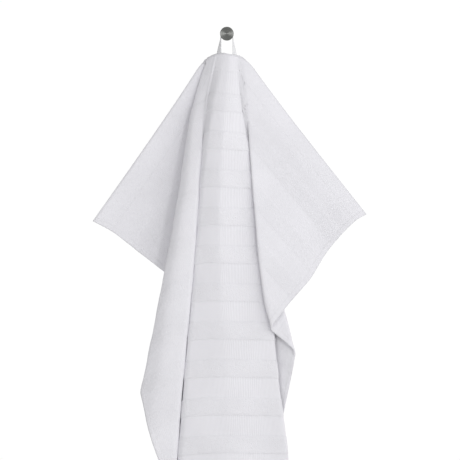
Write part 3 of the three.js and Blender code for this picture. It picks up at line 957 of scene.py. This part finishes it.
def grouped(wires, group, sources):
    """Places a shader group in a material with its own values."""
    made = wires.tree.nodes.new("ShaderNodeGroup")
    made.node_tree = group
    for socket, source in sources.items():
        wires.feed(made.inputs[socket], source)
    return made


def terry_material(cloth):
    """White terry: raised pile ribs, corded ground, hems with their stitches."""
    material, wires, shader = principled("White Terry")
    uv = wires.node("ShaderNodeUVMap", uv_map=CUT_UV)
    width = cloth.width / MM
    length = cloth.length / MM
    flat = wires.node("ShaderNodeMapping", {"Vector": uv.outputs["UV"],
                                            "Location": (-width / 2, length, 0.0),
                                            "Scale": (width, -length, 1.0)})
    place = flat.outputs["Vector"]
    mask = grouped(wires, rib_mask_group(), {
        "Cloth": place, "Pitch": cloth.rib_pitch / MM, "Width": cloth.rib_width / MM,
        "Hem": cloth.end_hem / MM, "Length": length})
    pile = grouped(wires, terry_pile_group(), {"Cloth": place})
    cords = grouped(wires, cord_ground_group(), {"Cloth": place})
    across = mask.outputs["Across"]
    along = mask.outputs["Along"]
    pressed = wires.node("ShaderNodeAttribute", attribute_name=PRESSED_ATTRIBUTE)
    raised = wires.node("ShaderNodeMix", {
        0: wires.math("MULTIPLY", pressed.outputs["Fac"], PRESSED_EVENNESS),
        2: mask.outputs["Raised"], 3: PRESSED_PILE}, data_type="FLOAT").outputs[0]
    hem = mask.outputs["Hem Mask"]
    from_side = wires.math("SUBTRACT", width / 2, wires.math("ABSOLUTE", across))
    seam = seam_group()
    side = grouped(wires, seam, {
        "From Edge": from_side, "Along Seam": along,
        "Inset": cloth.side_hem / MM - SIDE_SEAM_INSET})
    from_end = wires.math("MINIMUM", along, wires.math("SUBTRACT", length, along))
    end = grouped(wires, seam, {
        "From Edge": from_end, "Along Seam": across,
        "Inset": cloth.end_hem / MM - END_SEAM_INSET})
    in_side_hem = wires.ramp(from_side, cloth.side_hem / MM - SIDE_HEM_RAMP,
                             cloth.side_hem / MM, 1.0, 0.0)
    hemmed = wires.math("MAXIMUM", hem, in_side_hem)
    piled = wires.math("MAXIMUM", raised, wires.math("MULTIPLY", hemmed, PILE_ON_HEM))
    pile_height = wires.math("MULTIPLY", pile.outputs["Height"], piled)
    cord_height = wires.math("MULTIPLY", cords.outputs["Height"],
                             wires.math("MULTIPLY", wires.math("SUBTRACT", 1.0, piled),
                                        CORD_SHARE))
    stitches = wires.math("ADD", side.outputs["Height"], end.outputs["Height"])
    height = wires.math("ADD", wires.math("ADD", pile_height, cord_height),
                        wires.math("MULTIPLY", stitches, STITCH_HEIGHT))
    bump = wires.node("ShaderNodeBump", {"Height": height, "Strength": PILE_BUMP,
                                         "Distance": PILE_RELIEF * MM})
    # Painted shade: the gaps between the loops and between the cords are darkened towards a grey
    gap = wires.mix_colour(piled, cords.outputs["Gap"], pile.outputs["Gap"])
    patches = wires.node("ShaderNodeTexNoise", {"Vector": place, **PATCHES})
    tone = wires.ramp(patches.outputs["Fac"], NOISE_LOW, NOISE_HIGH, *PATCH_TONES)
    # The ground is a little darker than the pile: painted shade in the recessed bands between the
    # ribs
    base = wires.mix_colour(piled, (*cloth.ground_colour, 1.0), (*cloth.pile_colour, 1.0))
    shaded = wires.mix_colour(wires.math("MULTIPLY", gap, GAP_SHADE), base, GAP_SHADE_COLOUR)
    # Painted shade: the pressed seam lines are darkened in the colour
    lines = wires.math("MAXIMUM", side.outputs["Line"], end.outputs["Line"])
    seamed = wires.mix_colour(wires.math("MULTIPLY", lines, SEAM_SHADE), shaded, SEAM_SHADE_COLOUR)
    toned = wires.node("ShaderNodeCombineXYZ", {"X": tone, "Y": tone, "Z": tone})
    wires.feed(shader.inputs["Base Color"],
               wires.mix_colour(1.0, seamed, toned.outputs[0], "MULTIPLY"))
    wires.feed(shader.inputs["Roughness"],
               wires.ramp(pile.outputs["Height"], *PILE_HEIGHTS, *PILE_ROUGHNESS))
    shader.inputs["Specular IOR Level"].default_value = PILE_SPECULAR
    shader.inputs["Sheen Weight"].default_value = PILE_SHEEN
    shader.inputs["Sheen Roughness"].default_value = PILE_SHEEN_ROUGHNESS
    wires.feed(shader.inputs["Normal"], bump.outputs["Normal"])
    return material


def tape_material(loop):
    """Woven cotton tape: slanting twill ribs between two plain edges."""
    material, wires, shader = principled("Cotton Tape")
    uv = wires.node("ShaderNodeUVMap", uv_map=CUT_UV)
    flat = wires.node("ShaderNodeMapping", {
        "Vector": uv.outputs["UV"],
        "Scale": (loop.width / MM, TAPE_FLAT_LENGTH / MM, 1.0)})
    parts = wires.node("ShaderNodeSeparateXYZ", {"Vector": flat.outputs["Vector"]})
    across = parts.outputs["X"]
    along = parts.outputs["Y"]
    middle = loop.width / MM / 2
    from_middle = wires.math("ABSOLUTE", wires.math("SUBTRACT", across, middle))
    slant = wires.math("ADD", along, from_middle)
    twill = wires.wave(wires.math("MULTIPLY", slant, 2 * math.pi / TWILL_PITCH))
    selvedge = wires.ramp(from_middle, middle - SELVEDGE_START, middle - SELVEDGE_FULL)
    warp = wires.wave(wires.math("MULTIPLY", across, 2 * math.pi / WARP_PITCH))
    fuzz = wires.node("ShaderNodeTexNoise", {"Vector": flat.outputs["Vector"], **FUZZ})
    weave = wires.math("MULTIPLY", twill, wires.math("SUBTRACT", 1.0, selvedge))
    threads = wires.math("ADD", weave, wires.math("MULTIPLY", warp, WARP_HEIGHT))
    height = wires.math("ADD", threads, wires.math("MULTIPLY", fuzz.outputs["Fac"], FUZZ_HEIGHT))
    bump = wires.node("ShaderNodeBump", {"Height": height, "Strength": TAPE_BUMP,
                                         "Distance": TAPE_RELIEF * MM})
    shade = wires.math("MULTIPLY", wires.math("SUBTRACT", 1.0, weave), TAPE_SHADE)
    wires.feed(shader.inputs["Base Color"],
               wires.mix_colour(shade, (*loop.colour, 1.0), TAPE_SHADE_COLOUR))
    wires.feed(shader.inputs["Roughness"], wires.ramp(height, *TAPE_HEIGHTS, *TAPE_ROUGHNESS))
    shader.inputs["Specular IOR Level"].default_value = TAPE_SPECULAR
    wires.feed(shader.inputs["Normal"], bump.outputs["Normal"])
    return material


def turned_steel_material(peg):
    """Turned steel: rings left by the tool round the peg's axis, which spread its gloss."""
    material, wires, shader = principled("Turned Steel")
    place = wires.node("ShaderNodeTexCoord").outputs["Object"]
    parts = wires.node("ShaderNodeSeparateXYZ", {"Vector": place})
    radius = wires.math("SQRT", wires.math("ADD", wires.math("POWER", parts.outputs["X"], 2.0),
                                           wires.math("POWER", parts.outputs["Z"], 2.0)))
    rings = wires.node("ShaderNodeCombineXYZ", {"X": radius, "Y": parts.outputs["Y"]})
    grooves = wires.node("ShaderNodeTexNoise", {"Vector": rings.outputs[0], **GROOVES})
    smudge = wires.node("ShaderNodeTexNoise", {"Vector": place, **SMUDGES})
    bump = wires.node("ShaderNodeBump", {"Height": grooves.outputs["Fac"],
                                         "Strength": GROOVE_BUMP, "Distance": GROOVE_RELIEF * MM})
    worn = wires.ramp(smudge.outputs["Fac"], *SMUDGE_SPAN, 0.0, SMUDGE_SHARE)
    wires.feed(shader.inputs["Base Color"],
               wires.mix_colour(worn, (*peg.colour, 1.0), SMUDGE_COLOUR))
    wires.feed(shader.inputs["Roughness"],
               wires.ramp(grooves.outputs["Fac"], NOISE_LOW, NOISE_HIGH, *STEEL_ROUGHNESS))
    shader.inputs["Metallic"].default_value = 1.0
    shader.inputs["Anisotropic"].default_value = STEEL_SPREAD
    shader.inputs["Anisotropic Rotation"].default_value = QUARTER_TURN
    tangent = wires.node("ShaderNodeTangent", direction_type="RADIAL", axis="Y")
    wires.feed(shader.inputs["Tangent"], tangent.outputs["Tangent"])
    wires.feed(shader.inputs["Normal"], bump.outputs["Normal"])
    return material


def tape_sections(loop):
    """The tape's middle line with its outward direction: up one leg, over the peg, down."""
    radius = NECK_RADIUS + SEAT_GAP + loop.thickness / MM / 2
    drops = [entry["drop"] for entry in LEFT_LEG]
    sections = []

    def leg_section(leg, side, drop):
        across, out, turn = (
            table_value(drops, [entry[key] for entry in leg], drop)
            for key in ("across", "out", "turn"))
        angle = turn * DEGREE
        normal = Vector((side * math.cos(angle), -math.sin(angle), 0.0))
        return Vector((side * across, -out, -drop)), normal

    leg_drops = np.linspace(drops[-1], drops[0], LEG_STEPS)
    for drop in leg_drops:
        sections.append(leg_section(LEFT_LEG, -1, float(drop)))
    for step in range(loop.steps_over_peg + 1):
        angle = math.pi * (1 - step / loop.steps_over_peg)
        normal = Vector((math.cos(angle), 0.0, math.sin(angle)))
        centre = normal * radius
        centre.y = -LEFT_LEG[0]["out"]
        sections.append((centre, normal))
    for drop in reversed(leg_drops):
        sections.append(leg_section(RIGHT_LEG, 1, float(drop)))
    return sections


def sew_tape(loop):
    """The loop's mesh: a strip of grid that follows the tape's sections."""
    sections = tape_sections(loop)
    last = len(sections) - 1
    mesh = bmesh.new()
    uv_layer = mesh.loops.layers.uv.new(CUT_UV)
    bmesh.ops.create_grid(mesh, x_segments=TAPE_COLUMNS, y_segments=last, size=1.0)
    places = {}
    for vertex in mesh.verts:
        side = vertex.co.x
        j = round((vertex.co.y + 1) / 2 * last)
        centre, normal = sections[j]
        before = sections[max(j - 1, 0)][0]
        after = sections[min(j + 1, last)][0]
        along = (after - before).normalized()
        across = normal.cross(along).normalized()
        places[vertex.index] = (side / 2 + 0.5, j / last)
        vertex.co = (centre + across * side * loop.width / MM / 2) * MM
    for face in mesh.faces:
        for corner in face.loops:
            corner[uv_layer].uv = places[corner.vert.index]
        face.smooth = True
    mesh.normal_update()
    return mesh


def turn_peg(peg):
    """The peg's mesh: its half outline, rounded at the knob's rims and spun about its axis."""
    length = PEG_HIGH.y - PEG_LOW.y
    knob_back = -length + peg.knob_thickness
    outline = [
        (0.0, 0.0),
        (peg.neck_radius, 0.0),
        (peg.neck_radius, knob_back),
        (peg.knob_radius - peg.rim, knob_back),
        (peg.knob_radius, knob_back - peg.rim),
        (peg.knob_radius, -length + peg.rim),
        (peg.knob_radius - peg.rim * RIM_BEND, -length + peg.rim * RIM_BEND),
        (peg.knob_radius - peg.rim, -length),
        (peg.knob_radius - peg.rim * DISH_START, -length + peg.rim * DISH_DEPTH),
        (0.0, -length + peg.rim * DISH_DEPTH),
    ]
    mesh = bmesh.new()
    points = [mesh.verts.new((radius, y, 0.0)) for radius, y in outline]
    edges = [mesh.edges.new(pair) for pair in zip(points, points[1:])]
    bmesh.ops.spin(mesh, geom=points + edges, cent=(0, 0, 0), axis=(0, 1, 0),
                   angle=2 * math.pi, steps=PEG_STEPS, use_merge=True, use_duplicate=False)
    bmesh.ops.remove_doubles(mesh, verts=mesh.verts, dist=WELD_DISTANCE)
    bmesh.ops.recalc_face_normals(mesh, faces=mesh.faces)
    for face in mesh.faces:
        face.smooth = True
    sharp = [edge for edge in mesh.edges
             if edge.is_manifold and edge.calc_face_angle() > SHARP_ANGLE * DEGREE]
    for edge in sharp:
        edge.smooth = False
    return mesh


class HangTowel(bpy.types.Operator):
    """Lays the towel's cloth in its folds below the peg"""

    bl_idname = "towel.hang_cloth"
    bl_label = "Hang the Cloth"

    def execute(self, context):
        cloth = context.scene.towel_cloth
        remove_old(TOWEL_NAME)
        towel = new_object(TOWEL_NAME, hang_cloth(cloth), terry_material(cloth),
                           "towel")
        towel.vertex_groups.new(name=PILE_GROUP)
        skin = towel.modifiers.new("Cloth thickness", "SOLIDIFY")
        skin.thickness = cloth.thickness
        skin.offset = 0.0
        skin.vertex_group = PILE_GROUP
        if len(towel.data.polygons) == 0:
            raise RuntimeError("The cloth has no faces")
        return {"FINISHED"}


class SewLoop(bpy.types.Operator):
    """Lays the tape over the peg and down behind the hem"""

    bl_idname = "towel.sew_loop"
    bl_label = "Sew the Loop"

    def execute(self, context):
        loop = context.scene.towel_loop
        remove_old(LOOP_NAME)
        tape = new_object(LOOP_NAME, sew_tape(loop), tape_material(loop),
                          "hanging_loop")
        skin = tape.modifiers.new("Tape thickness", "SOLIDIFY")
        skin.thickness = loop.thickness
        skin.offset = 0.0
        if len(tape.data.polygons) == 0:
            raise RuntimeError("The tape has no faces")
        return {"FINISHED"}


class TurnPeg(bpy.types.Operator):
    """Turns the steel peg with its knob"""

    bl_idname = "towel.turn_peg"
    bl_label = "Turn the Peg"

    def execute(self, context):
        peg = context.scene.towel_peg
        remove_old(PEG_NAME)
        turned = new_object(PEG_NAME, turn_peg(peg), turned_steel_material(peg),
                            "wall_peg")
        if len(turned.data.polygons) == 0:
            raise RuntimeError("The peg has no faces")
        return {"FINISHED"}


def floor_material(studio):
    """Matt floor with a faint speckle."""
    material, wires, shader = principled("Studio Floor")
    place = wires.node("ShaderNodeTexCoord").outputs["Object"]
    speckle = wires.node("ShaderNodeTexNoise", {"Vector": place, **SPECKLE})
    tone = wires.ramp(speckle.outputs["Fac"], NOISE_LOW, NOISE_HIGH, 0.0, SPECKLE_SHARE)
    wires.feed(shader.inputs["Base Color"],
               wires.mix_colour(tone, (*studio.floor_colour, 1.0), SPECKLE_COLOUR))
    shader.inputs["Roughness"].default_value = FLOOR_ROUGHNESS
    return material


def light_surroundings(studio):
    """White surroundings: brightest on the right, softer on the left, overhead and below."""
    world = bpy.data.worlds.new("White Studio")
    bpy.context.scene.world = world
    world.use_nodes = True
    tree = world.node_tree
    tree.nodes.clear()
    wires = Wiring(tree)
    direction = wires.node("ShaderNodeTexCoord").outputs["Generated"]
    parts = wires.node("ShaderNodeSeparateXYZ", {"Vector": direction})
    height = parts.outputs["Z"]
    side = parts.outputs["X"]
    shares = (wires.ramp(height, *OVERHEAD, 0.0, studio.zenith - studio.horizon),
              wires.ramp(height, *UNDERFOOT, studio.nadir - studio.horizon, 0.0),
              wires.ramp(side, *TO_THE_RIGHT, 0.0, studio.right),
              wires.ramp(side, *TO_THE_LEFT, -studio.left, 0.0))
    strength = studio.horizon
    for share in shares:
        strength = wires.math("ADD", share, strength)
    back = wires.node("ShaderNodeBackground", {"Color": WHITE, "Strength": strength})
    wires.node("ShaderNodeOutputWorld", {"Surface": back.outputs["Background"]})


def turn_towards(thing, target):
    thing.rotation_mode = "QUATERNION"
    thing.rotation_quaternion = (target - thing.location).to_track_quat("-Z", "Y")


def hang_light(light, power, target):
    """A soft round light that faces a point."""
    name, place, size = light
    remove_old(name)
    lamp = bpy.data.lights.new(name, "AREA")
    lamp.shape = "DISK"
    lamp.size = size
    lamp.energy = power
    hung = bpy.data.objects.new(name, lamp)
    bpy.context.scene.collection.objects.link(hung)
    hung.location = place
    turn_towards(hung, target)


class SetStudio(bpy.types.Operator):
    """Sets the floor, the lights and the camera"""

    bl_idname = "towel.set_studio"
    bl_label = "Set the Studio"

    def execute(self, context):
        scene = context.scene
        studio = scene.towel_studio
        for name in (FLOOR_NAME, CAMERA_NAME):
            remove_old(name)
        mesh = bmesh.new()
        bmesh.ops.create_grid(mesh, x_segments=1, y_segments=1, size=FLOOR_SIZE,
                              matrix=Matrix.Translation(FLOOR_PLACE))
        data = bpy.data.meshes.new(FLOOR_NAME)
        mesh.to_mesh(data)
        mesh.free()
        data.materials.append(floor_material(studio))
        floor = bpy.data.objects.new(FLOOR_NAME, data)
        scene.collection.objects.link(floor)
        light_surroundings(studio)
        hang_light(KEY_LIGHT, studio.key_power, AIM)
        for light in FRONT_LIGHTS:
            hang_light(light, studio.front_power, Vector())
        lens = bpy.data.cameras.new(CAMERA_NAME)
        camera = bpy.data.objects.new(CAMERA_NAME, lens)
        scene.collection.objects.link(camera)
        camera.location = AIM + Vector((0.0, -studio.camera_distance, 0.0))
        turn_towards(camera, AIM)
        lens.sensor_width = FILM_WIDTH
        lens.lens = FILM_WIDTH * studio.camera_distance / studio.view_width
        lens.clip_end = CAMERA_REACH
        scene.camera = camera
        scene.view_settings.view_transform = "Standard"
        return {"FINISHED"}


class TowelPanel(bpy.types.Panel):
    """The towel's sizes and the steps that make it"""

    bl_idname = "VIEW3D_PT_towel"
    bl_label = "Bath Towel"
    bl_space_type = "VIEW_3D"
    bl_region_type = "UI"
    bl_category = "Towel"

    def draw(self, context):
        scene = context.scene
        for title, settings, operator in (
                ("Cloth", scene.towel_cloth, HangTowel), ("Loop", scene.towel_loop, SewLoop),
                ("Peg", scene.towel_peg, TurnPeg), ("Studio", scene.towel_studio, SetStudio)):
            box = self.layout.box()
            box.label(text=title)
            for key in settings.__annotations__:
                box.prop(settings, key)
            box.operator(operator.bl_idname)


CLASSES = (TowelSettings, LoopSettings, PegSettings, StudioSettings,
           HangTowel, SewLoop, TurnPeg, SetStudio, TowelPanel)
SETTINGS = {"towel_cloth": TowelSettings, "towel_loop": LoopSettings,
            "towel_peg": PegSettings, "towel_studio": StudioSettings}


def register():
    for kind in CLASSES:
        bpy.utils.register_class(kind)
    for name, kind in SETTINGS.items():
        setattr(bpy.types.Scene, name, bpy.props.PointerProperty(type=kind))


def unregister():
    for name in SETTINGS:
        delattr(bpy.types.Scene, name)
    for kind in reversed(CLASSES):
        bpy.utils.unregister_class(kind)


def main():
    register()
    bpy.ops.towel.hang_cloth()
    bpy.ops.towel.sew_loop()
    bpy.ops.towel.turn_peg()
    bpy.ops.towel.set_studio()


if __name__ == "__main__":
    main()
